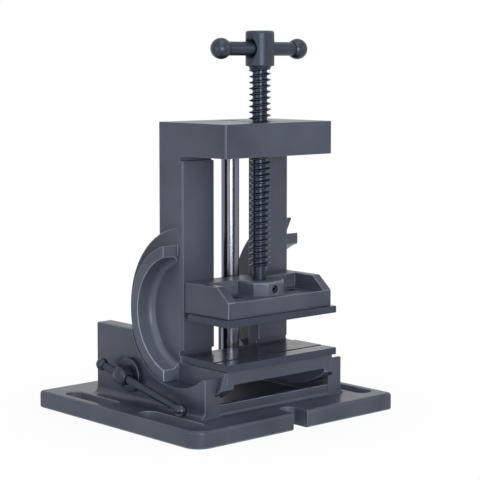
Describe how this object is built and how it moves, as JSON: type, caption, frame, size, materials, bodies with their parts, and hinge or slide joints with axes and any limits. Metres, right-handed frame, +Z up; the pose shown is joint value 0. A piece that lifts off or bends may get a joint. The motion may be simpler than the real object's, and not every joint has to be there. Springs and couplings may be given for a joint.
{
  "type": "tilting milling vise",
  "caption": "Screw-operated machine vise whose jaw frame tilts on ringed side discs in a slotted flat base and is locked by lever clamps at both walls.",
  "frame": {"origin": "middle of the base plate's footprint, on the surface that it stands on", "axes": "+X to the right along the jaws, +Y to the back, +Z up along the lead screw"},
  "size_m": [0.182, 0.174, 0.2653],
  "materials": {
    "base_casting": "satin dark blue-grey coating over cast iron",
    "vise_frame": "satin dark blue-grey coating over cast iron",
    "movable_jaw": "satin dark blue-grey coating over cast iron",
    "jaw_plate": "ground and blued hardened steel",
    "fastener": "black oxide",
    "keeper": "milled, black oxide",
    "lead_screw": "black oxide, lightly oiled",
    "screw_nut": "turned bronze",
    "guide_rod": "ground and polished",
    "handle": "black oxide",
    "clamp": "black oxide",
    "clamp_dog": "milled, black oxide"
  },
  "bodies": {
    "base": {"base_casting": "base_casting", "left_clamp_washer": "clamp", "right_clamp_washer": "clamp", "left_clamp_dog": "clamp_dog", "right_clamp_dog": "clamp_dog"},
    "frame": {"vise_frame": "vise_frame", "fixed_jaw_plate": "jaw_plate", "fixed_plate_screw_left": "fastener", "fixed_plate_screw_right": "fastener", "screw_nut": "screw_nut", "guide_rod": "guide_rod", "rod_lock_screw": "fastener"},
    "jaw": {"movable_jaw": "movable_jaw", "movable_jaw_plate": "jaw_plate", "movable_plate_screw_left": "fastener", "movable_plate_screw_right": "fastener", "jaw_stop_screw": "fastener", "keeper_left": "keeper", "keeper_right": "keeper", "keeper_screw_left_lower": "fastener", "keeper_screw_left_upper": "fastener", "keeper_screw_right_lower": "fastener", "keeper_screw_right_upper": "fastener"},
    "screw": {"lead_screw": "lead_screw"},
    "handle": {"handle_bar": "handle", "handle_ball_left": "handle", "handle_ball_right": "handle"},
    "left_clamp": {"left_clamp_screw": "clamp"},
    "left_lever": {"left_clamp_bar": "clamp", "left_clamp_ball_long": "clamp", "left_clamp_ball_short": "clamp"},
    "right_clamp": {"right_clamp_screw": "clamp"},
    "right_lever": {"right_clamp_bar": "clamp", "right_clamp_ball_long": "clamp", "right_clamp_ball_short": "clamp"}
  },
  "joints": [
    {"name": "tilt", "type": "hinge", "parent": "base", "child": "frame", "pos_m": [0, -0.0311, 0.076], "axis": [1, 0, 0], "range_deg": [-90, 0]},
    {"name": "jaw_slide", "type": "slide", "parent": "frame", "child": "jaw", "axis": [0, 0, 1], "range_m": [-0.0241, 0.0756]},
    {"name": "screw_turn", "type": "hinge", "parent": "jaw", "child": "screw", "pos_m": [0, -0.0464, 0.2], "axis": [0, 0, 1], "range_deg": [-2180, 6820]},
    {"name": "handle_slide", "type": "slide", "parent": "screw", "child": "handle", "axis": [1, 0, 0], "range_m": [-0.016, 0.016]},
    {"name": "left_clamp_turn", "type": "hinge", "parent": "base", "child": "left_clamp", "pos_m": [-0.0715, 0.0144, 0.0305], "axis": [1, 0, 0], "range_deg": [-20, 0]},
    {"name": "left_lever_slide", "type": "slide", "parent": "left_clamp", "child": "left_lever", "axis": [0, 0.9774, 0.2113], "range_m": [0, 0.05]},
    {"name": "right_clamp_turn", "type": "hinge", "parent": "base", "child": "right_clamp", "pos_m": [0.0715, 0.0144, 0.0305], "axis": [1, 0, 0], "range_deg": [0, 20]},
    {"name": "right_lever_slide", "type": "slide", "parent": "right_clamp", "child": "right_lever", "axis": [0, -0.9774, 0.2113], "range_m": [0, 0.05]}
  ],
  "couplings": [
    {"joint": "screw_turn", "follows": "jaw_slide", "rad_per_m": 1570.8}
  ]
}
